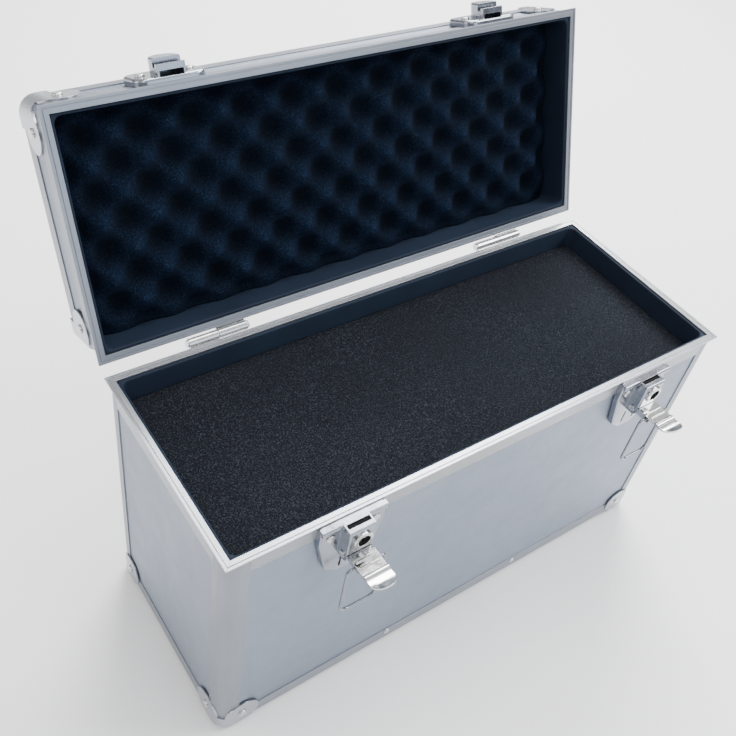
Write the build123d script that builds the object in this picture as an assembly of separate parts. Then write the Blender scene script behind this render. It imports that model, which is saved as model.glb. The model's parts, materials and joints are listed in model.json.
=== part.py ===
from build123d import *
import os

os.makedirs("parts", exist_ok=True)

# Aluminium case with a deep foam-filled base and a shallow hinged lid, drawn open.
# Millimetres, +Z up, front (latch side) towards -Y, hinge side towards +Y.
# Shapes are drawn upwards from the underside panel's outer face at z = 0, and lifted by the
# feet's height at the end, so the origin is on the surface that the case stands on, under
# the middle of its base.

# ---- overall sizes -------------------------------------------------------------------
length = 420.0            # over the rim lips, along X
depth = 163.0             # over the rim lips, along Y
base_height = 209.0       # underside panel to the base rim
lid_height = 44.0         # base rim to the outer face of the lid panel, when closed
rim_gap = 0.3             # between the two rims when closed
lid_open_angle = 110.76   # degrees

# ---- wall build-up, measured inwards from the rim lip ----------------------------------
flange_inset = 0.9        # outer face of every aluminium extrusion
flange_sheet = 0.8
panel_inset = flange_inset + flange_sheet
panel_thick = 3.5
liner_inset = panel_inset + panel_thick
liner_thick = 2.4
liner_corner = 1.5        # outer corner of the lining, inner corner of the posts
liner_bend = 5.0          # inner corner of the lining
floor_thick = 4.2
rim_width = 5.4
rim_thick = 1.2
rim_groove = (1.7, 2.3, 0.5)      # from, to, depth
post_radius = 10.5
post_flange = 16.4                # from the lip to the seam beside the corner post
edge_width = 13.0                 # flange of an edge extrusion on the underside or lid panel

# ---- corner protectors -----------------------------------------------------------------
protector_sheet = 1.2
protector_ball = 2.5      # its rounded bottom edge
edge_round = 1.6          # rounded bottom edge of the extrusions
ear_inset = 18.5
ear_radius = 13.0

# ---- rivets through the base's long edges ----------------------------------------------------
edge_rivet_x = 65.0
edge_rivet_up = 9.4

# ---- feet --------------------------------------------------------------------------------
foot_radius = 9.0
foot_up = 5.0

# ---- foam --------------------------------------------------------------------------------
foam_drop = 18.0          # base rim down to the foam
foam_layers = 3
foam_clear = 0.4
lid_foam_drop = 15.5      # lid rim to the foam peaks

# ---- hinges ------------------------------------------------------------------------------
fitting_x = 127.0         # hinges and latches, each side of the middle
hinge_offset = 4.8        # hinge axis behind the rear lip, level with the base rim
knuckle_radius = 3.4
hinge_pin_radius = 1.55
hinge_length = 44.0
leaf_height = 20.0
leaf_sheet = 1.4

# ---- latches: z is measured from the base rim, "proud" from the front lip -------------------
plate_half = 23.6
plate_top = -1.2
plate_waist = -16.0       # sides are straight down to here, then taper
plate_foot = -45.5
plate_foot_half = 16.5
plate_bottom = -53.5
plate_bottom_half = 6.5
plate_proud = 3.6
plate_sheet = 1.2
plate_corner = 3.0
plate_rivet_x = 16.0
latch_rivet_down = 11.5
catch_rivet_up = 15.5
plate_slot = (5.6, 0.8, -48.0, -36.0)     # middle, half width, low, high
bead_proud = 5.8          # rolled bar along the plate's top
bead_bottom = -5.6
channel_half = 9.3
channel_sheet = 1.2
channel_proud = 13.2
channel_room = 9.0        # front of the space inside the channel
channel_bottom = -21.8
key_z = -10.5
barrel_radius = 6.8
barrel_proud = 15.2
barrel_back = 5.3
lock_body_front = 7.7
lock_body_bottom = -20.5
plug_radius = 4.4
plug_proud = 13.6
cam_proud = (3.8, 5.0)
cam_reach = 7.4
pivot_z = -25.5
pivot_proud = 8.5
pivot_radius = 1.5
ear_round = 4.7
loop_arm = 12.5           # lever pivot to wire-loop pivot
loop_length = 45.5
loop_half = 13.6
loop_bend = 6.6
wire_radius = 1.05
lever_half = 8.8
lever_root_half = 7.8
lever_ridge = 22.5        # lever pivot to the ridge before the thumb tab
tab_start = 23.9
tab_length = 11.0
tab_curl = 20.0
running_clear = 0.06

# ---- handle on the lid --------------------------------------------------------------------
handle_half = 50.0
handle_arm = 32.0
handle_wire = 3.0
handle_pivot_up = 7.0
handle_lean = lid_open_angle - 90.0   # arm angle to the lid when it hangs plumb

half_x = length / 2
half_y = depth / 2
hinge_y = half_y + hinge_offset
nodes = {}


# ---- small helpers ---------------------------------------------------------------------------
def block(x0, x1, y0, y1, z0, z1):
    """Box between two corners."""
    size = Box(abs(x1 - x0), abs(y1 - y0), abs(z1 - z0))
    return Pos((x0 + x1) / 2, (y0 + y1) / 2, (z0 + z1) / 2) * size


def slab(inset, radius, z0, z1):
    """Rounded rectangle of the case's plan, inset from the rim lip."""
    plan = RectangleRounded(length - 2 * inset, depth - 2 * inset, radius)
    return Pos(0, 0, z0) * extrude(plan, z1 - z0)


def ring(inset0, inset1, z0, z1):
    """Square-cornered frame between two insets."""
    outer = block(inset0 - half_x, half_x - inset0, inset0 - half_y, half_y - inset0, z0, z1)
    inner = block(inset1 - half_x, half_x - inset1, inset1 - half_y, half_y - inset1, z0 - 1, z1 + 1)
    return outer - inner


def rod_x(x0, x1, y, z, radius):
    """Cylinder along X."""
    return Pos((x0 + x1) / 2, y, z) * Rot(0, 90, 0) * Cylinder(radius, abs(x1 - x0))


def rod_y(x, y0, y1, z, radius):
    """Cylinder along Y."""
    return Pos(x, (y0 + y1) / 2, z) * Rot(90, 0, 0) * Cylinder(radius, abs(y1 - y0))


def rod_z(x, y, z0, z1, radius):
    """Cylinder along Z."""
    return Pos(x, y, (z0 + z1) / 2) * Cylinder(radius, abs(z1 - z0))


def wedge(side, z0, z1):
    """Mitre wedge that holds one side of the case's frame."""
    over = 5.0
    x, y = half_x + over, half_y + over
    ridge = half_x - half_y
    outlines = {
        "front": [(-x, -y), (x, -y), (ridge, 0), (-ridge, 0)],
        "rear": [(x, y), (-x, y), (-ridge, 0), (ridge, 0)],
        "left": [(-x, -y), (-ridge, 0), (-x, y)],
        "right": [(x, y), (ridge, 0), (x, -y)],
    }
    face = make_face(Polyline(*outlines[side], close=True))
    return Pos(0, 0, z0) * extrude(face, z1 - z0)


def strip(side, inset0, inset1, end_inset, z0, z1):
    """Straight bar along one side of the case, between two insets."""
    if side in ("front", "rear"):
        sign = -1 if side == "front" else 1
        reach = half_x - end_inset
        return block(-reach, reach, sign * (half_y - inset0), sign * (half_y - inset1), z0, z1)
    sign = -1 if side == "left" else 1
    reach = half_y - end_inset
    return block(sign * (half_x - inset0), sign * (half_x - inset1), -reach, reach, z0, z1)


def four_corners(piece):
    """The piece at the front left corner, and its three mirror images."""
    pair = [piece, mirror(piece, about=Plane.YZ)]
    return pair + [mirror(one, about=Plane.XZ) for one in pair]


SIDES = ("front", "rear", "left", "right")


# ---- one open tub: the base as it stands, the lid before it is turned over ----------------------
def tub(height, rim_flange, edge_flange, ear_up):
    """Panels, extrusions, posts, protectors and lining of a tub standing on z = 0."""
    wall_top = height - rim_thick
    parts = {"panel": slab(panel_inset, post_radius - flange_sheet, 0, floor_thick)}
    groove = ring(rim_groove[0], rim_groove[1], height - rim_groove[2], height + 1)
    land = ring(0, rim_width, wall_top, height) - groove
    under = -flange_sheet
    corner = flange_inset + post_radius
    envelope = slab(flange_inset, post_radius, under, height)
    envelope = fillet(envelope.faces().sort_by(Axis.Z)[0].edges(), edge_round)

    for side in SIDES:
        parts["wall_" + side] = strip(side, panel_inset, liner_inset, corner, floor_thick, wall_top)
        flange = strip(side, flange_inset, panel_inset, post_flange, height - rim_flange, wall_top)
        parts["rim_" + side] = (land & wedge(side, wall_top - 1, height + 1)) + flange
        upright = strip(side, flange_inset, panel_inset, post_flange, under, edge_flange)
        flat = strip(side, flange_inset, flange_inset + edge_width, post_flange, under, 0)
        parts["edge_" + side] = (upright + flat) & envelope

    # Corner posts: a thick quarter ring on the floor panel, a thin skin around its edge, two flanges.
    skin = slab(flange_inset, post_radius, under, wall_top)
    skin -= slab(panel_inset, post_radius - flange_sheet, under - 1, wall_top + 1)
    core = slab(flange_inset, post_radius, floor_thick, wall_top)
    core -= slab(liner_inset, liner_corner, floor_thick - 1, wall_top + 1)
    reach = block(-half_x, corner - half_x, -half_y, corner - half_y, under, wall_top)
    wide = block(-half_x, post_flange - half_x, -half_y, post_flange - half_y, under, wall_top)
    post = (core & reach) + (skin & wide & envelope)
    parts["posts"] = four_corners(post)

    # Corner protector: a thin shell over the corner, trimmed to three round ears.
    low = under - protector_sheet
    outer = slab(flange_inset - protector_sheet, post_radius + protector_sheet, low, low + 60)
    outer = fillet(outer.faces().sort_by(Axis.Z)[0].edges(), protector_ball)
    shell = outer - envelope - slab(flange_inset, post_radius, under + 5, low + 70)
    ear_x, ear_y = ear_inset - half_x, ear_inset - half_y
    ears = rod_y(ear_x, -half_y - 5, corner - half_y, ear_up, ear_radius)
    ears += rod_x(-half_x - 5, corner - half_x, ear_y, ear_up, ear_radius)
    ears += rod_z(ear_x, ear_y, low - 1, 5, ear_radius)
    ears += block(-half_x - 5, ear_x, -half_y - 5, ear_y, low - 1, ear_up)
    parts["protectors"] = four_corners(shell & ears)

    liner = slab(liner_inset, liner_corner, floor_thick, wall_top)
    inside = liner_inset + liner_thick
    liner -= slab(inside, liner_bend, floor_thick + liner_thick, wall_top + 1)
    parts["liner"] = liner
    return parts


def foam_slab(z0, z1):
    """Foam block that fills the lined inside between two heights."""
    inset = liner_inset + liner_thick + foam_clear
    return slab(inset, liner_bend - foam_clear, z0, z1)


# ---- rivets --------------------------------------------------------------------------------------
def rivet(head_radius=3.2, head_up=1.3, shank=6.0):
    """Domed rivet standing on z = 0, its head up; returns the rivet and its shank's hole."""
    head = Pos(0, 0, head_up / 2) * Cylinder(head_radius, head_up)
    head = fillet(head.faces().sort_by(Axis.Z)[-1].edges(), head_up * 0.85)
    stem = rod_z(0, 0, -shank, 0, 1.6)
    return head + stem, stem


def rivets_at(spots, **sizes):
    """Rivets at (x, y, z, direction) spots; direction is the side that the head faces."""
    turns = {
        "front": Rot(90, 0, 0),
        "rear": Rot(-90, 0, 0),
        "left": Rot(0, -90, 0),
        "right": Rot(0, 90, 0),
        "down": Rot(180, 0, 0),
        "up": Rot(0, 0, 0),
    }
    whole, hole = rivet(**sizes)
    made = []
    for x, y, z, side in spots:
        place = Pos(x, y, z) * turns[side]
        made.append((place * whole, place * hole))
    return made


def near(shape, hole):
    """True where the two shapes' boxes meet."""
    a, b = shape.bounding_box(), hole.bounding_box()
    apart = (
        a.min.X > b.max.X or b.min.X > a.max.X
        or a.min.Y > b.max.Y or b.min.Y > a.max.Y
        or a.min.Z > b.max.Z or b.min.Z > a.max.Z
    )
    return not apart


def drill(group, made):
    """Cut each rivet's shank out of every piece of the group that it passes."""
    for name, pieces in group.items():
        cut = []
        for piece in pieces:
            for _, hole in made:
                if near(piece, hole):
                    piece = piece - hole
            cut.append(piece)
        group[name] = cut


def ear_spots(ear_up, low):
    """Rivet spots at the middle of every protector ear of a tub."""
    face = flange_inset - protector_sheet
    spots = []
    for sx in (-1, 1):
        for sy in (-1, 1):
            x, y = sx * (half_x - ear_inset), sy * (half_y - ear_inset)
            spots.append((x, sy * (half_y - face), ear_up, "front" if sy < 0 else "rear"))
            spots.append((sx * (half_x - face), y, ear_up, "left" if sx < 0 else "right"))
            spots.append((x, y, low, "down"))
    return spots


# ---- base --------------------------------------------------------------------------------------
base_rim_flange = 13.0
base_edge_flange = 12.2
base_ear_up = 12.0
protector_low = -flange_sheet - protector_sheet
flange_y = half_y - flange_inset

base = tub(base_height, base_rim_flange, base_edge_flange, base_ear_up)
base_group = {
    "underside_panel": [base["panel"]],
    "base_corner_posts": base["posts"],
    "base_corner_protectors": base["protectors"],
    "base_lining": [base["liner"]],
}
for side in SIDES:
    base_group[side + "_panel"] = [base["wall_" + side]]
    base_group["base_rim_" + side] = [base["rim_" + side]]
    base_group["base_edge_" + side] = [base["edge_" + side]]

foam_floor = floor_thick + liner_thick
foam_top = base_height - foam_drop
layer = (foam_top - foam_floor) / foam_layers
for number in range(foam_layers):
    low = foam_floor + number * layer
    base_group["base_foam_%d" % (number + 1)] = [foam_slab(low, low + layer)]

# Rubber feet under the underside panel, each with its own screw.
foot_x, foot_y = half_x - 45, half_y - 32
feet = []
screws = []
for sx in (-1, 1):
    for sy in (-1, 1):
        x, y = sx * foot_x, sy * foot_y
        foot = rod_z(x, y, -foot_up, 0, foot_radius)
        foot = fillet(foot.faces().sort_by(Axis.Z)[0].edges(), 1.5)
        screw = rod_z(x, y, -2.4, -1.0, 3.6) + rod_z(x, y, -1.0, 3.4, 1.5)
        feet.append(foot - rod_z(x, y, -foot_up - 1, -1.0, 4.4) - rod_z(x, y, -2, 1, 1.5))
        screws.append(screw)
        base_group["underside_panel"][0] -= rod_z(x, y, -1, 3.4, 1.5)
base_group["rubber_feet"] = feet
base_group["foot_screws"] = screws


# ---- hinges --------------------------------------------------------------------------------------
def hinge_leaf(x, up, x0, x1, bore):
    """Leaf on the rear face; up is 1 for the lid's leaf and -1 for the base's, in the closed case."""
    z = base_height
    near_z, far_z = z + up * 1.6, z + up * (leaf_height + 1.6)
    web_z = z + up * (knuckle_radius - leaf_sheet)
    half = hinge_length / 2
    plate = block(x - half, x + half, flange_y, flange_y + leaf_sheet, near_z, far_z)
    plate = fillet(plate.edges().filter_by(Axis.Y).group_by(Axis.Z)[0 if up < 0 else -1], 4)
    web = block(x + x0, x + x1, flange_y + leaf_sheet / 2, hinge_y, web_z, z + up * knuckle_radius)
    knuckle = rod_x(x + x0, x + x1, hinge_y, z, knuckle_radius)
    return plate + web + knuckle - rod_x(x + x0 - 1, x + x1 + 1, hinge_y, z, bore)


lid_group = {}
hinge_spots = []
lid_hinge_spots = []
knuckle_gap = 0.2
pin_head = 1.2
for word, x in (("left", -fitting_x), ("right", fitting_x)):
    half = hinge_length / 2
    base_group["hinge_%s_base_leaf" % word] = [hinge_leaf(x, -1, -half, -knuckle_gap, hinge_pin_radius)]
    loose = hinge_pin_radius + running_clear
    lid_group["hinge_%s_lid_leaf" % word] = [hinge_leaf(x, 1, knuckle_gap, half, loose)]
    pin = rod_x(x - half, x + half + 0.3, hinge_y, base_height, hinge_pin_radius)
    pin += rod_x(x - half - pin_head, x - half, hinge_y, base_height, 2.6)
    pin += rod_x(x + half + 0.3, x + half + 0.3 + pin_head, hinge_y, base_height, 2.6)
    base_group["hinge_%s_pin" % word] = [pin]
    for dx in (-13, 13):
        face = flange_y + leaf_sheet
        hinge_spots.append((x + dx, face, base_height - 14.5, "rear"))
        lid_hinge_spots.append((x + dx, face, base_height + 14.5, "rear"))


# ---- latches on the base --------------------------------------------------------------------------
def front_block(x, x0, x1, proud0, proud1, up0, up1):
    """Box on the front face, by how proud of the lip it stands and how far above the base rim."""
    return block(x + x0, x + x1, -half_y - proud0, -half_y - proud1, base_height + up0, base_height + up1)


def front_prism(x, outline, proud0, proud1):
    """Prism on the front face from (across, above the base rim) points."""
    points = [(x + across, base_height + up) for across, up in outline]
    plane = Plane(origin=(0, -half_y - proud0, 0), x_dir=(1, 0, 0), z_dir=(0, -1, 0))
    return extrude(plane * make_face(Polyline(*points, close=True)), proud1 - proud0)


def tray(x, outline, corner, softness):
    """Shallow stamped plate with turned-in edges, open towards the case."""
    back = -flange_inset
    wall = plate_sheet
    plate = front_prism(x, outline, back, plate_proud)
    plate = fillet(plate.edges().filter_by(Axis.Y), corner)
    plate = fillet(plate.faces().sort_by(Axis.Y)[0].edges(), softness)
    middle = sum(up for _, up in outline) / len(outline)
    inner = []
    for across, up in outline:
        shift_across = -wall if across > 0 else wall
        shift_up = -wall if up > middle else wall
        inner.append((across + shift_across, up + shift_up))
    hollow = front_prism(x, inner, back - 1, plate_proud - wall)
    return plate - fillet(hollow.edges().filter_by(Axis.Y), corner - wall)


def latch_plate(x):
    """Stamped latch plate: tray, rolled bar on top, raised channel, two ears for the lever's pin."""
    inner = channel_half - channel_sheet
    half_outline = [
        (plate_half, plate_top), (plate_half, plate_waist),
        (plate_foot_half, plate_foot), (plate_bottom_half, plate_bottom),
    ]
    outline = half_outline + [(-across, up) for across, up in reversed(half_outline)]
    plate = tray(x, outline, plate_corner, 1.0)
    bead_half = plate_half - 0.3
    bead = front_block(x, -bead_half, bead_half, 1, bead_proud, bead_bottom, plate_top)
    plate += fillet(bead.faces().sort_by(Axis.Y)[0].edges(), 1.7)

    channel = front_block(x, -channel_half, channel_half, 1, channel_proud, channel_bottom, plate_top)
    front_edges = channel.faces().sort_by(Axis.Y)[0].edges()
    channel = fillet(front_edges.sort_by(Axis.Z)[1:], 1.6)
    pin_y, pin_z = -half_y - pivot_proud, base_height + pivot_z
    ears = rod_x(x - channel_half, x + channel_half, pin_y, pin_z, ear_round)
    ears += front_block(x, -channel_half, channel_half, 1, pivot_proud, pivot_z - ear_round, channel_bottom + 1)
    plate = plate + channel + ears

    room_low = pivot_z - ear_round - 2
    plate -= front_block(x, -inner, inner, plate_proud, channel_room, channel_bottom - 1, bead_bottom)
    plate -= front_block(x, -inner, inner, bead_proud, channel_room, bead_bottom - 1, plate_top + 5)
    plate -= front_block(x, -inner, inner, 0, 30, room_low, channel_bottom)
    plate -= rod_y(x, -half_y - 30, -half_y - 5, base_height + key_z, barrel_radius)
    middle, half, low, high = plate_slot
    for sign in (-1, 1):
        across = sign * middle
        plate -= front_block(x, across - half, across + half, 0, 8, low, high)
    return plate - rod_x(x - 20, x + 20, pin_y, pin_z, pivot_radius)


def lock_body(x):
    """Black moulded body that holds the barrel inside the channel, and shows in the slot above."""
    half = channel_half - channel_sheet - 0.1
    top = bead_bottom - 0.1
    body = front_block(x, -half, half, barrel_back, lock_body_front, lock_body_bottom, top)
    body += front_block(x, -half, half, bead_proud + 0.1, channel_room - 0.1, top - 2, plate_top - 0.9)
    return body - rod_y(x, -half_y - 30, -half_y, base_height + key_z, barrel_radius)


def lock_barrel(x):
    """Fixed barrel of the key lock."""
    z = base_height + key_z
    barrel = rod_y(x, -half_y - barrel_proud, -half_y - barrel_back, z, barrel_radius)
    barrel = fillet(barrel.faces().sort_by(Axis.Y)[0].edges(), 0.8)
    return barrel - rod_y(x, -half_y - 30, -half_y, z, plug_radius + running_clear)


def key_plug(x):
    """Turning plug with a keyway slot and the lock's cam behind."""
    z = base_height + key_z
    cam_back, cam_front = cam_proud
    plug = rod_y(x, -half_y - plug_proud, -half_y - cam_back, z, plug_radius)
    plug += front_block(x, 0, cam_reach, cam_back, cam_front, key_z - 1.6, key_z + 1.6)
    return plug - front_block(x, -0.7, 0.7, plug_proud - 4, plug_proud + 1, key_z - 2.8, key_z + 2.8)


def lever(x):
    """Lever straight out from its pin: cheeks, ribbed top plate and a rounded, curled-up thumb tab."""
    pin_y, pin_z = -half_y - pivot_proud, base_height + pivot_z
    up = pivot_z

    def bar(half, out0, out1, up0, up1):
        return front_block(x, -half, half, pivot_proud + out0, pivot_proud + out1, up + up0, up + up1)

    top_low, top_high = 1.8, 3.0
    cheek = 1.2
    inner = lever_root_half - cheek
    cheeks = bar(lever_root_half, -3, loop_arm + 3.5, -3, top_high)
    cheeks = fillet(cheeks.edges().filter_by(Axis.X).group_by(Axis.Z)[0], 2.8)
    body = cheeks - bar(inner, -4, 30, -4, top_low)
    body -= bar(20, -4, -1.0, top_low - 0.4, 5)
    body += bar(lever_half, 6.4, lever_ridge + 2.9, top_low, top_high)
    for out in (lever_ridge / 2, lever_ridge * 0.7):
        body += rod_x(x - 7.2, x + 7.2, pin_y - out, pin_z + top_high, 0.8)
    ridge = rod_x(x - lever_half, x + lever_half, pin_y - lever_ridge, pin_z + top_high - 1.4, 2.6)
    body += ridge & bar(lever_half, 10, 40, top_low, 8)

    # Thumb tab: a slice of a wide curved sheet, round in plan.
    tab_y, tab_z = pin_y - tab_start, pin_z + top_low + tab_curl
    tab = rod_x(x - lever_half, x + lever_half, tab_y, tab_z, tab_curl)
    tab -= rod_x(x - 20, x + 20, tab_y, tab_z, tab_curl - 1.3)
    plan = bar(lever_half, tab_start, tab_start + tab_length, 0, 8)
    plan = fillet(plan.edges().filter_by(Axis.Z).group_by(Axis.Y)[0], 7.6)
    body += tab & plan
    body -= rod_x(x - 20, x + 20, pin_y, pin_z, pivot_radius + running_clear)
    return body - rod_x(x - 20, x + 20, pin_y - loop_arm, pin_z, wire_radius + running_clear)


def lever_pin(x):
    """Headed pin across the ears."""
    pin_y, pin_z = -half_y - pivot_proud, base_height + pivot_z
    pin = rod_x(x - channel_half, x + channel_half, pin_y, pin_z, pivot_radius)
    for sign in (-1, 1):
        pin += rod_x(x + sign * channel_half, x + sign * (channel_half + 0.9), pin_y, pin_z, 2.4)
    return pin


def wire_loop(x):
    """Wire loop hanging from the lever, its two ends turned in through the cheeks."""
    y, z = -half_y - pivot_proud - loop_arm, base_height + pivot_z
    inner = lever_root_half - 1.8
    points = [
        (x - inner, y, z),
        (x - loop_half, y, z),
        (x - loop_half, y, z - loop_length),
        (x + loop_half, y, z - loop_length),
        (x + loop_half, y, z),
        (x + inner, y, z),
    ]
    path = FilletPolyline(*points, radius=[2.6, loop_bend, loop_bend, 2.6])
    start = Plane(origin=points[0], z_dir=(-1, 0, 0))
    return sweep(start * Circle(wire_radius), path=path)


latch_spots = []
moving = {}
base_group["lock_bodies"] = [lock_body(-fitting_x), lock_body(fitting_x)]
for word, x in (("left", -fitting_x), ("right", fitting_x)):
    base_group["latch_plate_" + word] = [latch_plate(x)]
    base_group["lock_barrel_" + word] = [lock_barrel(x)]
    base_group["lever_pin_" + word] = [lever_pin(x)]
    moving["key_plug_" + word] = [key_plug(x)]
    moving["latch_lever_" + word] = [lever(x)]
    moving["wire_loop_" + word] = [wire_loop(x)]
    for dx in (-plate_rivet_x, plate_rivet_x):
        latch_spots.append((x + dx, -half_y - plate_proud, base_height - latch_rivet_down, "front"))

edge_spots = []
for x in (-edge_rivet_x, edge_rivet_x):
    edge_spots.append((x, -flange_y, edge_rivet_up, "front"))
    edge_spots.append((x, flange_y, edge_rivet_up, "rear"))

corner_rivets = rivets_at(ear_spots(base_ear_up, protector_low), shank=5.2)
edge_rivets = rivets_at(edge_spots, head_radius=2.5, head_up=1.1, shank=4.0)
hinge_rivets = rivets_at(hinge_spots, head_radius=2.8, shank=5.4)
latch_rivets = rivets_at(latch_spots, shank=8.4)
base_rivets = corner_rivets + edge_rivets + hinge_rivets + latch_rivets
drill(base_group, base_rivets)
base_group["base_rivets"] = [whole for whole, _ in corner_rivets + edge_rivets + hinge_rivets]
base_group["latch_rivets"] = [whole for whole, _ in latch_rivets]


# ---- lid, drawn closed and then swung open ----------------------------------------------------------
lid_rim_flange = 13.5
lid_edge_flange = 12.4
lid_ear_up = 21.0
lid_tub_height = lid_height - rim_gap
turned_over = Pos(0, 0, base_height + lid_height) * Rot(180, 0, 0)
closed_lid = tub(lid_tub_height, lid_rim_flange, lid_edge_flange, lid_ear_up)


def over(pieces):
    """Tub pieces turned over onto the base."""
    return [turned_over * piece for piece in pieces]


swap = {"front": "rear", "rear": "front", "left": "left", "right": "right"}
lid_group["lid_panel"] = over([closed_lid["panel"]])
lid_group["lid_side_panels"] = over([closed_lid["wall_" + side] for side in SIDES])
lid_group["lid_corner_posts"] = over(closed_lid["posts"])
lid_group["lid_corner_protectors"] = over(closed_lid["protectors"])
lid_group["lid_lining"] = over([closed_lid["liner"]])
lid_group["lid_foam"] = over([foam_slab(foam_floor, lid_tub_height - lid_foam_drop)])
lid_group["lid_edges"] = over([closed_lid["edge_" + side] for side in SIDES])
for side in SIDES:
    lid_group["lid_rim_" + swap[side]] = over([closed_lid["rim_" + side]])


def catch(x):
    """Catch plate with a hooked hump: nib and groove for the wire, rounded cap, hollow behind."""
    up0, up1 = 1.5, 29.5
    half, far, top = 9.2, 22.0, 13.4
    nib_low, nib_high, groove_high = 3.2, 6.0, 9.3
    nib_top, groove_floor = 10.4, 7.9
    wall = 1.4
    outline = [(plate_half, up1), (plate_half, up0), (-plate_half, up0), (-plate_half, up1)]
    plate = tray(x, outline, 8.0, 1.8)
    hump = front_block(x, -half, half, 0, top, nib_low, far)
    hump = fillet(hump.edges().filter_by(Axis.Y).group_by(Axis.Z)[-1], half - 1.0)
    hump = fillet(hump.faces().sort_by(Axis.Y)[0].edges(), 1.1)
    hump -= front_block(x, -half - 1, half + 1, groove_floor, top + 1, nib_high, groove_high)
    hump -= front_block(x, -half - 1, half + 1, nib_top, top + 1, nib_low - 1, nib_high)
    whole = plate + hump
    inner = half - wall
    low_room = front_block(x, -inner, inner, -2, groove_floor - wall, nib_low - 1, far - 6)
    high_room = front_block(x, -inner, inner, 0, top - wall, groove_high + wall, far - 6)
    return whole - low_room - high_room


catch_spots = []
for word, x in (("left", -fitting_x), ("right", fitting_x)):
    lid_group["catch_" + word] = [catch(x)]
    for dx in (-plate_rivet_x, plate_rivet_x):
        catch_spots.append((x + dx, -half_y - plate_proud, base_height + catch_rivet_up, "front"))


# Handle: two brackets, a bent wire frame and a moulded grip.
lid_face = base_height + lid_height
handle_z = lid_face + handle_pivot_up
eye_in, eye_out = handle_half + 5.0, handle_half + 16.0
eye_radius = 5.2
brackets = []
bracket_spots = []
for sign in (-1, 1):
    x0, x1 = sign * eye_in, sign * eye_out
    middle = (x0 + x1) / 2
    foot = block(middle - 9, middle + 9, -15, 15, lid_face, lid_face + 1.6)
    foot = fillet(foot.edges().filter_by(Axis.Z), 5)
    eye = rod_x(x0, x1, 0, handle_z, eye_radius)
    eye += block(x0, x1, -eye_radius, eye_radius, lid_face, handle_z)
    brackets.append(foot + eye - rod_x(-200, 200, 0, handle_z, handle_wire + running_clear))
    for y in (-10.5, 10.5):
        bracket_spots.append((middle, y, lid_face + 1.6, "up"))
lid_group["handle_brackets"] = brackets

end = eye_out + 0.4
frame_points = [
    (-end, 0, 0), (-handle_half, 0, 0), (-handle_half, handle_arm, 0),
    (handle_half, handle_arm, 0), (handle_half, 0, 0), (end, 0, 0),
]
frame_path = FilletPolyline(*frame_points, radius=[4.2, 9.0, 9.0, 4.2])
frame = sweep(Plane(origin=frame_points[0], z_dir=(1, 0, 0)) * Circle(handle_wire), path=frame_path)
for sign in (-1, 1):
    frame += rod_x(sign * end, sign * (end + 1.6), 0, 0, handle_wire + 1.2)
grip_half = 38.0
grip = Pos(0, handle_arm, 0) * Rot(0, 90, 0) * extrude(Ellipse(7.2, 9.5), grip_half, both=True)
grip = fillet(grip.edges(), 3.0)
grip -= rod_x(-60, 60, handle_arm, 0, handle_wire)
hang = Pos(0, 0, handle_z) * Rot(handle_lean, 0, 0)
moving["handle_frame"] = [hang * frame]
moving["handle_grip"] = [hang * grip]

turned_spots = ear_spots(lid_ear_up, protector_low)
lid_corner_rivets = [
    tuple(turned_over * shape for shape in pair) for pair in rivets_at(turned_spots, shank=5.2)
]
lid_hinge_rivets = rivets_at(lid_hinge_spots, head_radius=2.8, shank=5.4)
catch_rivets = rivets_at(catch_spots, shank=8.4)
bracket_rivets = rivets_at(bracket_spots, head_radius=2.8, shank=5.0)
lid_rivets = lid_corner_rivets + lid_hinge_rivets + bracket_rivets
drill(lid_group, lid_rivets + catch_rivets)
lid_group["lid_rivets"] = [whole for whole, _ in lid_rivets]
lid_group["catch_rivets"] = [whole for whole, _ in catch_rivets]

swing = Pos(0, hinge_y, base_height) * Rot(-lid_open_angle, 0, 0) * Pos(0, -hinge_y, -base_height)
for name in ("handle_frame", "handle_grip"):
    lid_group[name] = moving.pop(name)
for name, pieces in lid_group.items():
    nodes[name] = [swing * piece for piece in pieces]
nodes.update(base_group)
nodes.update(moving)


# ---- export ------------------------------------------------------------------------------------------
def solids_of(pieces):
    """Every separate solid of a node."""
    found = []
    for piece in pieces:
        found.extend(piece.solids())
    return found


stand = Pos(0, 0, foot_up)
for name, pieces in nodes.items():
    solids = [stand * solid for solid in solids_of(pieces)]
    shape = solids[0] if len(solids) == 1 else Compound(children=solids)
    export_step(shape, "parts/%s.step" % name)
print(len(nodes), "nodes")
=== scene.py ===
"""Looks for the aluminium case: foam, linings, materials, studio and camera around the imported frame."""

import json
import math
import random

import bpy
from mathutils import Matrix, Vector, noise


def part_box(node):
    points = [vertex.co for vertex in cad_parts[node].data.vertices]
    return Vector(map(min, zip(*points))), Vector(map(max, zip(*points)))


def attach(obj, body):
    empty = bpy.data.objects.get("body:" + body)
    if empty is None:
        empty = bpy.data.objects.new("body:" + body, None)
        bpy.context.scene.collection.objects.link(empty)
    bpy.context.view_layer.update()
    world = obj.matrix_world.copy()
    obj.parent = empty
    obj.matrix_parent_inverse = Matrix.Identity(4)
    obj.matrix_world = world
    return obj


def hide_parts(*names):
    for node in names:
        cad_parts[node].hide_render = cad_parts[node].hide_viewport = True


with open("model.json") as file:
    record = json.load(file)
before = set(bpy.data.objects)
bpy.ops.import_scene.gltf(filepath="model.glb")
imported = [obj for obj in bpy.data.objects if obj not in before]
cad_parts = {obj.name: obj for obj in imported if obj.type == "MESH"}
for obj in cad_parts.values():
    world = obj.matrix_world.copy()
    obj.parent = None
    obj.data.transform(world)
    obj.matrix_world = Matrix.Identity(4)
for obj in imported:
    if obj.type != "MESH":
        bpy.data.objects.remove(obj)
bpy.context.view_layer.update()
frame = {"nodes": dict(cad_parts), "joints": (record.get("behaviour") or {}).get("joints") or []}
MM = 0.001
FULL_TURN = 2 * math.pi
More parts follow.
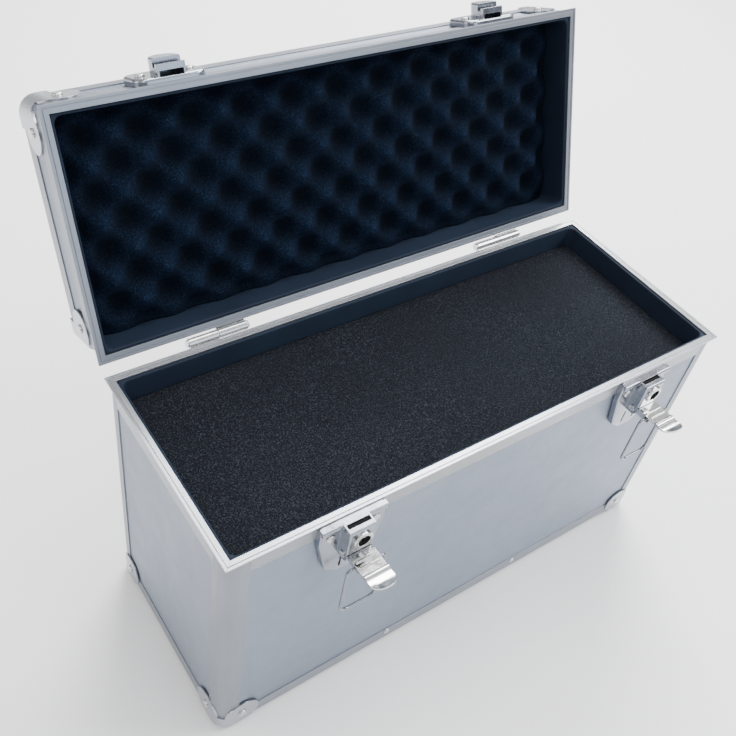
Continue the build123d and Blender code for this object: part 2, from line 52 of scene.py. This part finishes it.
NOISE_RANGE = (0.3, 0.7)         # where most values of a noise texture lie

# ---- places taken from the frame -----------------------------------------------------------------
joints = {joint["name"]: joint for joint in frame["joints"]}
hinge_point = Vector(joints["lid_hinge"]["pos_m"])
lid_angle = math.radians(joints["lid_hinge"]["range_deg"][1])
swing = (
    Matrix.Translation(hinge_point)
    @ Matrix.Rotation(-lid_angle, 4, "X")
    @ Matrix.Translation(-hinge_point)
)
identity = Matrix.Identity(4)


def box_before(node, motion):
    """Corners of a CAD node before a motion was applied to it."""
    undo = motion.inverted()
    points = [undo @ vertex.co for vertex in frame["nodes"][node].data.vertices]
    low = Vector([min(point[axis] for point in points) for axis in range(3)])
    high = Vector([max(point[axis] for point in points) for axis in range(3)])
    return low, high


# ---- shader helpers ------------------------------------------------------------------------------
def darker(tone, share):
    """A tone scaled down to a share of its brightness."""
    return tuple(share * part for part in tone)


def set_stops(ramp, stops):
    """Gives a colour ramp its stops, each a position and a colour."""
    while len(ramp.elements) < len(stops):
        ramp.elements.new(0.5)
    for element, (position, colour) in zip(ramp.elements, stops):
        element.position = position
        element.color = (*colour, 1)


class Shader:
    """A Principled material and short calls for the nodes that feed it."""

    def __init__(self, name, **values):
        self.material = bpy.data.materials.new(name)
        self.material.use_nodes = True
        self.tree = self.material.node_tree
        self.bsdf = self.tree.nodes["Principled BSDF"]
        for socket, value in values.items():
            self.bsdf.inputs[socket.replace("_", " ")].default_value = value

    def node(self, kind, inputs=None, **settings):
        made = self.tree.nodes.new("ShaderNode" + kind)
        for key, value in settings.items():
            setattr(made, key, value)
        for socket, value in (inputs or {}).items():
            if isinstance(value, bpy.types.NodeSocket):
                self.tree.links.new(value, made.inputs[socket])
            else:
                made.inputs[socket].default_value = value
        return made

    def place(self, motion=identity, stretch=(1, 1, 1)):
        """Object coordinates in metres, turned back by a motion's rotation and scaled by stretch."""
        spot = self.node("TexCoord").outputs["Object"]
        if motion is not identity:
            turn = motion.inverted().to_euler()
            spot = self.node("Mapping", {"Vector": spot, "Rotation": turn}).outputs["Vector"]
        if stretch != (1, 1, 1):
            spot = self.node("Mapping", {"Vector": spot, "Scale": stretch}).outputs["Vector"]
        return spot

    def noise(self, spot, scale, detail=3.0, roughness=0.55):
        inputs = {"Vector": spot, "Scale": scale, "Detail": detail, "Roughness": roughness}
        return self.node("TexNoise", inputs).outputs["Fac"]

    def math(self, operation, *values):
        inputs = dict(enumerate(values))
        return self.node("Math", inputs, operation=operation).outputs[0]

    def remap(self, value, low, high, to_low, to_high):
        inputs = {"Value": value, "From Min": low, "From Max": high, "To Min": to_low, "To Max": to_high}
        return self.node("MapRange", inputs).outputs["Result"]

    def ramp(self, value, stops):
        made = self.node("ValToRGB", {"Fac": value})
        set_stops(made.color_ramp, stops)
        return made.outputs["Color"]

    def drift(self, value, dark, pale):
        """Colour that drifts between two tones as a noise does."""
        low, high = NOISE_RANGE
        return self.ramp(value, [(low, dark), (high, pale)])

    def scaled(self, colour, factor):
        """A colour multiplied by a factor that varies over the surface."""
        return self.node("VectorMath", {0: colour, 1: factor}, operation="MULTIPLY").outputs[0]

    def axes(self, spot):
        return self.node("SeparateXYZ", {"Vector": spot}).outputs

    def bump(self, height, distance, strength=1.0, under=None):
        inputs = {"Height": height, "Distance": distance, "Strength": strength}
        if under is not None:
            inputs["Normal"] = under
        return self.node("Bump", inputs).outputs["Normal"]

    def soft_edges(self, radius):
        return self.node("Bevel", {"Radius": radius}, samples=6).outputs["Normal"]

    def feed(self, **sockets):
        for socket, value in sockets.items():
            self.tree.links.new(value, self.bsdf.inputs[socket.replace("_", " ")])
        return self.material


# ---- tones, in linear light ----------------------------------------------------------------------
DARK_SHEET = (0.272, 0.310, 0.380)
PALE_SHEET = (0.312, 0.350, 0.420)
RIM_TONE = (0.42, 0.435, 0.46)
EDGE_TONE = (0.258, 0.275, 0.312)
NICKEL = (0.66, 0.66, 0.65)
PLATE_TONE = (0.31, 0.33, 0.37)
PROTECTOR_TONE = (0.40, 0.42, 0.46)
RIVET_TONE = (0.58, 0.58, 0.58)
WIRE_TONE = (0.25, 0.26, 0.29)


# ---- metals --------------------------------------------------------------------------------------
def embossed_sheet(name, motion, across):
    """Aluminium sheet with fine wavy ribs; across is the axis that the ribs repeat along."""
    rib_pitch, wave_pitch = 1.6 * MM, 4.6 * MM
    rib_height = 0.11 * MM
    sway = 1.3                   # radians of a rib's turn that the waves push it aside
    mottle_share = 0.9           # against the ribs' height
    valley_shade = 0.68
    shade = Shader(name, Metallic=0.85, IOR=1.45)
    spot = shade.place(motion)
    axes = shade.axes(spot)
    along = shade.math("ADD", axes["X"], axes["Y" if across == "Z" else "Z"])
    wave = shade.math("SINE", shade.math("MULTIPLY", along, FULL_TURN / wave_pitch))
    straight = shade.math("MULTIPLY", axes[across], FULL_TURN / rib_pitch)
    phase = shade.math("ADD", straight, shade.math("MULTIPLY", wave, sway))
    ribs = shade.math("SINE", phase)
    mottle = shade.noise(spot, 900.0, 2.0)
    height = shade.math("ADD", ribs, shade.math("MULTIPLY", mottle, mottle_share))
    cloud = shade.noise(spot, 9.0, 3.0)
    tone = shade.drift(cloud, DARK_SHEET, PALE_SHEET)
    shaded = shade.scaled(tone, shade.remap(ribs, -1.0, 1.0, valley_shade, 1.0))
    gloss = shade.remap(shade.noise(spot, 60.0), *NOISE_RANGE, 0.40, 0.50)
    return shade.feed(Base_Color=shaded, Roughness=gloss, Normal=shade.bump(height, rib_height, 0.8))


def extruded(name, motion, along, tone, low_gloss=0.34, high_gloss=0.46, highlight_above=None):
    """Satin anodised extrusion with drawn lines along one axis; painted highlight above a height and
    painted shade on the flanks below it.
    """
    line_stretch = 0.02
    flank_shade, top_shade = 0.74, 1.10
    shade = Shader(name, Metallic=0.75, IOR=1.45)
    stretch = tuple(line_stretch if axis == along else 1.0 for axis in "XYZ")
    lines = shade.noise(shade.place(motion, stretch), 1500.0, 2.0)
    spot = shade.place(motion)
    cloud = shade.noise(spot, 25.0, 4.0)
    colour = shade.drift(cloud, darker(tone, 0.90), tone)
    # painted highlight on the top face, painted shade on the flanks and in the groove below it
    if highlight_above:
        level = shade.axes(spot)["Z"]
        painted_light_by_height = shade.remap(level, highlight_above, highlight_above + 1.0 * MM, flank_shade, top_shade)
        colour = shade.scaled(colour, painted_light_by_height)
    gloss = shade.remap(lines, *NOISE_RANGE, low_gloss, high_gloss)
    normal = shade.bump(lines, 0.012 * MM, 0.6, shade.soft_edges(0.3 * MM))
    return shade.feed(Base_Color=colour, Roughness=gloss, Normal=normal)


def plated(name, tone, low_gloss, high_gloss, edge=0.35):
    """Bright plated steel: faint smears, hairline scratches and edges softened by edge mm."""
    hair_stretch = (1.0, 0.08, 0.3)
    shade = Shader(name, Metallic=1.0, IOR=1.45)
    smear = shade.noise(shade.place(), 120.0, 4.0, 0.6)
    hair = shade.noise(shade.place(stretch=hair_stretch), 2600.0, 2.0)
    colour = shade.ramp(smear, [(0.35, darker(tone, 0.88)), (0.65, tone)])
    gloss = shade.remap(smear, *NOISE_RANGE, low_gloss, high_gloss)
    ripple = shade.bump(smear, 0.12 * MM, 0.5, shade.soft_edges(edge * MM))
    scratched = shade.bump(hair, 0.006 * MM, 0.5, ripple)
    return shade.feed(Base_Color=colour, Roughness=gloss, Normal=scratched)


# ---- soft goods, rubber and plastic --------------------------------------------------------------
def open_cell_foam(name, deep, tone, glint, motion=identity, shade_heights=None):
    """Open-cell foam: speckled cells in a dark tone, with a few bright cell edges.

    The last argument is (valley, peak) of a shaped foam: its valleys get painted shade and its peaks a
    painted highlight.
    """
    cell_share, grain_share, patch_share = 0.45, 0.75, 0.10
    valley_shade, peak_shade = 0.35, 1.7
    shade = Shader(name, Roughness=0.95, IOR=1.35, Specular_IOR_Level=0.15)
    spot = shade.place(motion)
    cells = shade.node("TexVoronoi", {"Vector": spot, "Scale": 1050.0}).outputs["Distance"]
    grain = shade.noise(spot, 950.0, 4.0, 0.7)
    patch = shade.noise(spot, 14.0, 3.0)
    speckle = shade.math(
        "ADD", shade.math("MULTIPLY", cells, cell_share), shade.math("MULTIPLY", grain, grain_share)
    )
    value = shade.math("ADD", speckle, shade.math("MULTIPLY", patch, patch_share))
    colour = shade.ramp(value, [(0.44, deep), (0.66, tone), (0.86, glint)])
    # painted shade in the valleys and a painted highlight on the peaks, by height
    if shade_heights:
        level = shade.axes(spot)["Z"]
        colour = shade.scaled(colour, shade.remap(level, *shade_heights, valley_shade, peak_shade))
    height = shade.math("ADD", cells, grain)
    return shade.feed(Base_Color=colour, Normal=shade.bump(height, 0.5 * MM, 0.9))


def napped_cloth(name, deep, tone):
    """Smooth dark lining cloth with a short nap and a faint sheen."""
    shade = Shader(
        name, Roughness=0.72, IOR=1.4, Specular_IOR_Level=0.3,
        Sheen_Weight=0.06, Sheen_Roughness=0.5, Sheen_Tint=(0.25, 0.4, 0.65, 1),
    )
    spot = shade.place()
    nap = shade.noise(spot, 1600.0, 3.0)
    cloud = shade.noise(spot, 22.0, 3.0)
    colour = shade.drift(cloud, deep, tone)
    return shade.feed(Base_Color=colour, Normal=shade.bump(nap, 0.10 * MM, 0.6))


def moulded(name, deep, tone, roughness, shine=0.5):
    """Moulded rubber or plastic with a fine spark-eroded grain."""
    shade = Shader(name, Roughness=roughness, IOR=1.5, Specular_IOR_Level=shine)
    spot = shade.place()
    grain = shade.noise(spot, 1100.0, 3.0)
    cloud = shade.noise(spot, 60.0, 3.0)
    colour = shade.drift(cloud, deep, tone)
    normal = shade.bump(grain, 0.06 * MM, 0.6, shade.soft_edges(0.4 * MM))
    return shade.feed(Base_Color=colour, Normal=normal)


# ---- the looks -----------------------------------------------------------------------------------
foam_low, foam_high = box_before("lid_foam", swing)
crate_depth = 13.0 * MM          # peak to valley
turned_hinge = swing.inverted().to_3x3() @ hinge_point
peak_level = foam_low.z - hinge_point.z + turned_hinge.z      # in the lid material's turned coordinates
valley_level = peak_level + crate_depth
# height where the rims' painted highlight starts; below it the rims get painted shade
highlight_from = hinge_point.z - 1.3 * MM                        # just under the top face of the base's rims

recipes = {
    "wall_sheet": (embossed_sheet, identity, "Z"),
    "floor_sheet": (embossed_sheet, identity, "Y"),
    "lid_wall_sheet": (embossed_sheet, swing, "Z"),
    "lid_top_sheet": (embossed_sheet, swing, "Y"),
    # the rims get a painted highlight on their top face and painted shade on their flanks
    "rim_x": (extruded, identity, "X", RIM_TONE, 0.24, 0.36, highlight_from),
    "rim_y": (extruded, identity, "Y", RIM_TONE, 0.24, 0.36, highlight_from),
    "edge_x": (extruded, identity, "X", EDGE_TONE),
    "edge_y": (extruded, identity, "Y", EDGE_TONE),
    "post_z": (extruded, identity, "Z", EDGE_TONE),
    "lid_rim_x": (extruded, swing, "X", EDGE_TONE),
    "lid_rim_y": (extruded, swing, "Y", EDGE_TONE),
    "lid_post_z": (extruded, swing, "Z", EDGE_TONE),
    "nickel": (plated, NICKEL, 0.07, 0.17),
    "plate_steel": (plated, PLATE_TONE, 0.16, 0.28),
    "protector_steel": (plated, PROTECTOR_TONE, 0.18, 0.30),
    "rivet_steel": (plated, RIVET_TONE, 0.14, 0.26, 0.2),
    "wire_steel": (plated, WIRE_TONE, 0.14, 0.26, 0.1),
    # near-black painted shade for the shadowed inside of the lock channel and keyhole
    "lock_black": (moulded, (0.003, 0.003, 0.0035), (0.007, 0.007, 0.008), 0.85, 0.12),
    "rubber": (moulded, (0.012, 0.012, 0.013), (0.028, 0.028, 0.030), 0.75),
    "grip_plastic": (moulded, (0.010, 0.010, 0.012), (0.024, 0.024, 0.027), 0.45),
    "base_foam": (
        open_cell_foam, (0.0030, 0.0037, 0.0054), (0.0076, 0.0090, 0.0125), (0.024, 0.028, 0.036),
    ),
    # the lid foam gets painted shade in its dimples and a painted highlight on its peaks
    "lid_foam": (
        open_cell_foam, (0.0007, 0.0018, 0.0048), (0.0020, 0.0052, 0.0135), (0.0060, 0.0125, 0.0260),
        swing, (valley_level, peak_level),
    ),
    "lining": (napped_cloth, (0.0040, 0.0082, 0.0190), (0.0066, 0.0130, 0.0270)),
}
looks = {name: make(name, *values) for name, (make, *values) in recipes.items()}


def look_of(node):
    """The material of a CAD node, from its name."""
    rules = [
        ("rivets", "rivet_steel"),
        ("underside_panel", "floor_sheet"),
        ("lid_panel", "lid_top_sheet"),
        ("lid_side_panels", "lid_wall_sheet"),
        ("_panel", "wall_sheet"),
        ("protectors", "protector_steel"),
        ("base_corner_posts", "post_z"),
        ("lid_corner_posts", "lid_post_z"),
        ("base_rim_front", "rim_x"),
        ("base_rim_rear", "rim_x"),
        ("base_edge_front", "edge_x"),
        ("base_edge_rear", "edge_x"),
        ("base_rim", "rim_y"),
        ("base_edge", "edge_y"),
        ("lid_rim_left", "lid_rim_y"),
        ("lid_rim_right", "lid_rim_y"),
        ("lid_rim", "lid_rim_x"),
        ("lid_edges", "lid_rim_x"),
        ("latch_plate", "plate_steel"),
        ("catch_left", "plate_steel"),
        ("catch_right", "plate_steel"),
        # key plugs and lock bodies are painted near-black as painted shade inside the channel
        ("key_plug", "lock_black"),
        ("lock_bodies", "lock_black"),
        ("wire_loop", "wire_steel"),
        ("handle_frame", "wire_steel"),
        ("foot_screws", "wire_steel"),
        ("handle_grip", "grip_plastic"),
        ("rubber_feet", "rubber"),
    ]
    for part, look in rules:
        if part in node:
            return looks[look]
    return looks["nickel"]


for node, shown in frame["nodes"].items():
    shown.data.materials.clear()
    shown.data.materials.append(look_of(node))


# ---- mesh helpers --------------------------------------------------------------------------------
def make_piece(name, points, faces, look, body, slot, motion=identity):
    """Smooth-shaded mesh piece on a body; its points are moved into the row frame here."""
    mesh = bpy.data.meshes.new(name)
    mesh.from_pydata([motion @ Vector(point) for point in points], [], faces)
    mesh.validate()
    mesh.polygons.foreach_set("use_smooth", [True] * len(mesh.polygons))
    mesh.materials.append(looks[look])
    piece = bpy.data.objects.new(name, mesh)
    bpy.context.scene.collection.objects.link(piece)
    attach(piece, body)
    return piece


def spread(low, high):
    """Middle and half size of a box seen from above: middle_x, middle_y, half_x, half_y."""
    return (low.x + high.x) / 2, (low.y + high.y) / 2, (high.x - low.x) / 2, (high.y - low.y) / 2


def grid_faces(count_x, count_y):
    """Faces of a grid of count_x by count_y cells, its points in rows along X, seen from +Z."""
    row = count_x + 1
    return [
        (j * row + i, j * row + i + 1, (j + 1) * row + i + 1, (j + 1) * row + i)
        for j in range(count_y)
        for i in range(count_x)
    ]


def grid_border(count_x, count_y):
    """The same grid's outermost points, anticlockwise."""
    row = count_x + 1
    border = list(range(count_x + 1))
    border += [j * row + count_x for j in range(1, count_y + 1)]
    border += [count_y * row + i for i in range(count_x - 1, -1, -1)]
    border += [j * row for j in range(count_y - 1, 0, -1)]
    return border


def round_corner(x, y, half_x, half_y, radius):
    """Moves a point of a rectangle onto the same rectangle with round corners.

    Returns the point and the direction that its nearest side faces.
    """
    over_x, over_y = abs(x) - (half_x - radius), abs(y) - (half_y - radius)
    sign_x, sign_y = math.copysign(1, x), math.copysign(1, y)
    if over_x <= 0 or over_y <= 0:
        outward = (sign_x, 0.0) if over_x > over_y else (0.0, sign_y)
        return x, y, outward
    a, b = over_x / radius, over_y / radius
    a, b = a * math.sqrt(1 - b * b / 2), b * math.sqrt(1 - a * a / 2)
    size = math.hypot(a, b)
    x = sign_x * (half_x - radius + a * radius)
    y = sign_y * (half_y - radius + b * radius)
    return x, y, (sign_x * a / size, sign_y * b / size)


def foam_block(name, low, high, radius, cell, top_height, grain, edge, **where):
    """Foam slab whose top follows top_height(x, y): round corners, rounded edge, uneven cut sides.

    low and high are its corners with the top facing +Z; grain is the cells' unevenness.
    """
    side_wave = 0.4              # the cut sides' unevenness, as a share of edge
    draw = random.Random(name)
    middle_x, middle_y, half_x, half_y = spread(low, high)
    half_x -= edge
    half_y -= edge
    count_x, count_y = round(2 * half_x / cell), round(2 * half_y / cell)
    points, outward = [], []
    for j in range(count_y + 1):
        for i in range(count_x + 1):
            flat_x = half_x * (2 * i / count_x - 1)
            flat_y = half_y * (2 * j / count_y - 1)
            x, y, side = round_corner(flat_x, flat_y, half_x, half_y, radius)
            z = high.z + top_height(x, y) + draw.uniform(-grain, grain)
            points.append((middle_x + x, middle_y + y, z))
            outward.append(side)
    faces = grid_faces(count_x, count_y)
    border = grid_border(count_x, count_y)
    previous = border
    edge_steps, side_steps = 4, 2
    for step in range(1, edge_steps + side_steps + 1):
        ring = []
        for index in border:
            x, y, z = points[index]
            out_x, out_y = outward[index]
            if step <= edge_steps:
                turn = math.pi / 2 * step / edge_steps
                out, level = edge * math.sin(turn), z - edge * (1 - math.cos(turn))
            else:
                share = (step - edge_steps) / side_steps
                out = edge * (1 - side_wave * share * noise.noise((x * 40, y * 40, share)))
                level = (z - edge) * (1 - share) + low.z * share
            ring.append(len(points))
            points.append((x + out_x * out, y + out_y * out, level))
        for k in range(len(border)):
            after = (k + 1) % len(border)
            faces.append((previous[k], ring[k], ring[after], previous[after]))
        previous = ring
    faces.append(tuple(reversed(previous)))
    return make_piece(name, points, faces, **where)


def loop_points(half_x, half_y, radius, steps_x, steps_y):
    """Points round a rectangle with round corners, anticlockwise."""
    arc_steps = 8
    found = []
    corners = [(1, -1, -90), (1, 1, 0), (-1, 1, 90), (-1, -1, 180)]
    for number, (sign_x, sign_y, start) in enumerate(corners):
        centre_x, centre_y = sign_x * (half_x - radius), sign_y * (half_y - radius)
        for step in range(arc_steps + 1):
            turn = math.radians(start + 90 * step / arc_steps)
            found.append((centre_x + radius * math.cos(turn), centre_y + radius * math.sin(turn)))
        along_y = number in (0, 2)
        run = 2 * ((half_y if along_y else half_x) - radius)
        count = steps_y if along_y else steps_x
        x, y = found[-1]
        ahead = (-math.sin(turn), math.cos(turn))
        for step in range(1, count):
            gone = run * step / count
            found.append((x + ahead[0] * gone, y + ahead[1] * gone))
    return found


def lining_walls(name, low, high, thick, corner, bend, top_roll, **where):
    """Padded cloth round the inside of a tub, its top edge rolled over and slightly uneven.

    low and high are the outer corners, open side up; corner and bend are the radii outside and inside.
    """
    spacing = 9 * MM
    most_pucker = 0.25 * MM
    middle_x, middle_y, half_x, half_y = spread(low, high)
    profile = [(0.0, low.z), (0.0, high.z - top_roll)]
    roll_steps = 6
    for step in range(1, roll_steps + 1):
        turn = math.pi * step / roll_steps
        profile.append((thick / 2 * (1 - math.cos(turn)), high.z - top_roll * (1 - math.sin(turn))))
    wall_steps = 6
    for step in range(1, wall_steps + 1):
        share = step / wall_steps
        profile.append((thick, (high.z - top_roll) * (1 - share) + low.z * share))
    steps_x, steps_y = round(2 * half_x / spacing), round(2 * half_y / spacing)
    points, faces = [], []
    for inset, z in profile:
        radius = corner + (bend - corner) * inset / thick
        for x, y in loop_points(half_x - inset, half_y - inset, radius, steps_x, steps_y):
            inner_face = inset > thick * 0.4
            pucker = most_pucker * noise.noise((x * 28, y * 28, z * 40)) if inner_face else 0.0
            x, y = x * (1 - pucker / half_x), y * (1 - pucker / half_y)
            points.append((middle_x + x, middle_y + y, z))
    rows, count = len(profile), len(points) // len(profile)
    for m in range(rows):
        above = (m + 1) % rows
        for k in range(count):
            after = (k + 1) % count
            faces.append((m * count + k, m * count + after, above * count + after, above * count + k))
    return make_piece(name, points, faces, **where)


def lining_floor(name, low, high, thick, corner, **where):
    """Thin cloth sheet on a tub's floor, faintly puckered."""
    cell = 8 * MM
    most_pucker = 0.15 * MM
    middle_x, middle_y, half_x, half_y = spread(low, high)
    count_x, count_y = round(2 * half_x / cell), round(2 * half_y / cell)
    points = []
    for level in (0.0, thick):
        for j in range(count_y + 1):
            for i in range(count_x + 1):
                flat = half_x * (2 * i / count_x - 1), half_y * (2 * j / count_y - 1)
                x, y, _ = round_corner(*flat, half_x, half_y, corner)
                lift = most_pucker * noise.noise((x * 30, y * 30, 0)) if level else 0.0
                points.append((middle_x + x, middle_y + y, low.z + level + lift))
    shift = len(points) // 2
    faces = []
    for face in grid_faces(count_x, count_y):
        faces.append(tuple(reversed(face)))
        faces.append(tuple(index + shift for index in face))
    border = grid_border(count_x, count_y)
    for k in range(len(border)):
        a, b = border[k], border[(k + 1) % len(border)]
        faces.append((a, b, b + shift, a + shift))
    return make_piece(name, points, faces, **where)


# ---- base foam -----------------------------------------------------------------------------------
foam_corner = 4.6 * MM


def uneven_top(x, y):
    """The top layer's gentle unevenness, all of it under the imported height."""
    swell = 0.5 * MM
    return swell * noise.noise((x * 14, y * 14, 3.0)) - swell


def flat_top(x, y):
    """A hidden layer's top, a little under the layer above."""
    return -0.2 * MM


for number in (1, 2, 3):
    node = "base_foam_%d" % number
    low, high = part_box(node)
    top_layer = number == 3
    slab = foam_block(
        "foam_layer_%d" % number,
        low,
        high,
        foam_corner,
        cell=(1.6 if top_layer else 8.0) * MM,
        top_height=uneven_top if top_layer else flat_top,
        grain=(0.12 if top_layer else 0.1) * MM,
        edge=1.6 * MM,
        look="base_foam",
        body="base",
        slot="base_foam",
    )
    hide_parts(node)


# ---- lid foam: egg-crate -------------------------------------------------------------------------
pitch_x, pitch_y = 36.5 * MM, 36.8 * MM
crate_edge_mean = 8.5 * MM       # below the peaks, along the walls
crate_edge_share = 0.25          # of the wave's size left along the walls
edge_fade = 13.0 * MM
crate_drift = 1.2 * MM           # of the lattice, sideways
crate_swell = 0.4 * MM
peak_power, dimple_power = 1.35, 0.7      # over 1 is narrower than a plain wave, under 1 is wider


def smooth(value):
    """Eases from 0 to 1, and stays at those outside."""
    value = min(max(value, 0.0), 1.0)
    return value * value * (3 - 2 * value)


turned = Matrix.Translation((0, 0, foam_low.z + foam_high.z)) @ Matrix.Rotation(math.pi, 4, "X")
crate_half_x = (foam_high.x - foam_low.x) / 2
crate_half_y = (foam_high.y - foam_low.y) / 2


def crate_top(x, y):
    """Height against the highest peaks: round peaks and round dimples on a staggered lattice."""
    x_bent = x + crate_drift * noise.noise((x * 9, y * 9, 7.0))
    y_bent = y + crate_drift * noise.noise((x * 9, y * 9, 11.0))
    wave = math.cos(FULL_TURN * x_bent / pitch_x) * math.cos(FULL_TURN * y_bent / pitch_y)
    shaped = wave ** peak_power if wave > 0 else -abs(wave) ** dimple_power
    near_wall = min(crate_half_x - abs(x), crate_half_y - abs(y))
    inner = smooth(near_wall / edge_fade)
    mean = -crate_depth / 2 * inner - crate_edge_mean * (1 - inner)
    size = crate_depth / 2 * (crate_edge_share + (1 - crate_edge_share) * inner)
    return mean + size * shaped + crate_swell * noise.noise((x * 30, y * 30, 5.0))


egg_crate = foam_block(
    "egg_crate_foam",
    foam_low,
    foam_high,
    foam_corner,
    cell=1.7 * MM,
    top_height=crate_top,
    grain=0.12 * MM,
    edge=0.8 * MM,
    look="lid_foam",
    body="lid",
    slot="lid_foam",
    motion=swing @ turned,
)
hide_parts("lid_foam")


# ---- linings -------------------------------------------------------------------------------------
lining_thick = 2.4 * MM
lining_corner = 1.5 * MM         # outside
lining_bend = 5.0 * MM           # inside
lining_roll = 1.1 * MM           # height of the rolled top edge
floor_thick = 0.8 * MM
floor_gap = 0.2 * MM             # between the floor lining and the wall lining


def line_tub(word, node, body, motion, flip):
    """Wall lining and floor lining of one tub; flip is for a tub whose open side faces -Z."""
    low, high = box_before(node, motion)
    if flip:
        turn_over = Matrix.Translation((0, 0, low.z + high.z)) @ Matrix.Rotation(math.pi, 4, "X")
        motion = motion @ turn_over
    where = {"look": "lining", "body": body, "slot": "lining", "motion": motion}
    wall_low = low + Vector((0, 0, floor_thick + floor_gap))
    walls = lining_walls(
        word + "_wall_lining",
        wall_low,
        high,
        lining_thick,
        lining_corner,
        lining_bend,
        lining_roll,
        **where,
    )
    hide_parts(node)
    floor = lining_floor(word + "_floor_lining", low, high, floor_thick, lining_corner, **where)


line_tub("base", "base_lining", "base", identity, flip=False)
line_tub("lid", "lid_lining", "lid", swing, flip=True)


# ---- studio --------------------------------------------------------------------------------------
def studio_floor():
    """Plain pale floor, wide enough to reach the horizon."""
    half = 40.0
    corners = [(-half, -half, 0), (half, -half, 0), (half, half, 0), (-half, half, 0)]
    mesh = bpy.data.meshes.new("studio_floor")
    mesh.from_pydata(corners, [], [(0, 1, 2, 3)])
    shade = Shader("studio_floor", Roughness=0.7)
    cloud = shade.noise(shade.place(), 2.0, 2.0)
    colour = shade.drift(cloud, (0.88, 0.88, 0.885), (0.90, 0.90, 0.90))
    mesh.materials.append(shade.feed(Base_Color=colour))
    floor = bpy.data.objects.new("studio_floor", mesh)
    bpy.context.scene.collection.objects.link(floor)


def softbox(name, place, aim, size, power, colour):
    """Square area light that faces a point."""
    lamp = bpy.data.lights.new(name, "AREA")
    lamp.size = size
    lamp.energy = power
    lamp.color = colour
    holder = bpy.data.objects.new(name, lamp)
    holder.location = place
    holder.rotation_euler = (Vector(aim) - Vector(place)).to_track_quat("-Z", "Y").to_euler()
    bpy.context.scene.collection.objects.link(holder)


def sky():
    """Soft studio surroundings: bright above, a dark band low down for the metals, pale at the horizon."""
    world = bpy.data.worlds.new("studio")
    bpy.context.scene.world = world
    world.use_nodes = True
    tree = world.node_tree
    spot = tree.nodes.new("ShaderNodeTexCoord")
    parts = tree.nodes.new("ShaderNodeSeparateXYZ")
    ramp = tree.nodes.new("ShaderNodeValToRGB")
    tree.links.new(spot.outputs["Generated"], parts.inputs[0])
    tree.links.new(parts.outputs["Z"], ramp.inputs["Fac"])
    set_stops(ramp.color_ramp, [
        (0.0, (0.78, 0.79, 0.81)),
        (0.10, (0.26, 0.27, 0.30)),
        (0.26, (0.56, 0.58, 0.62)),
        (0.6, (0.95, 0.96, 0.98)),
    ])
    tree.links.new(ramp.outputs["Color"], tree.nodes["Background"].inputs["Color"])
    tree.nodes["Background"].inputs["Strength"].default_value = 1.0


studio_floor()
sky()
case_middle = (0, 0.04, 0.18)
white, warm, cool = (1, 1, 1), (1.0, 0.93, 0.85), (0.76, 0.88, 1.0)
lights = [
    # name, place, size, power, colour
    ("key", (1.3, -0.6, 1.7), 0.9, 38.0, white),
    ("front_left", (-1.1, -1.3, 1.9), 1.2, 14.0, white),
    ("overhead", (0.2, 0.4, 2.2), 1.0, 26.0, white),
    ("rear_top", (0.95, 1.15, 1.45), 1.1, 75.0, white),
    ("left_fill", (-1.9, 0.5, 0.9), 1.2, 13.0, warm),
    ("front_fill", (0.6, -2.0, 0.7), 1.4, 12.0, cool),
]
for name, place, size, power, colour in lights:
    softbox(name, place, case_middle, size, power, colour)


# ---- camera --------------------------------------------------------------------------------------
lens = bpy.data.cameras.new("camera")
lens.lens = 44.06
lens.sensor_width = 36.0
camera = bpy.data.objects.new("camera", lens)
camera.location = (-0.3441, -0.3111, 0.6437)
camera.rotation_euler = [math.radians(angle) for angle in (44.8726, -7.8155, -34.3129)]
bpy.context.scene.collection.objects.link(camera)
bpy.context.scene.camera = camera
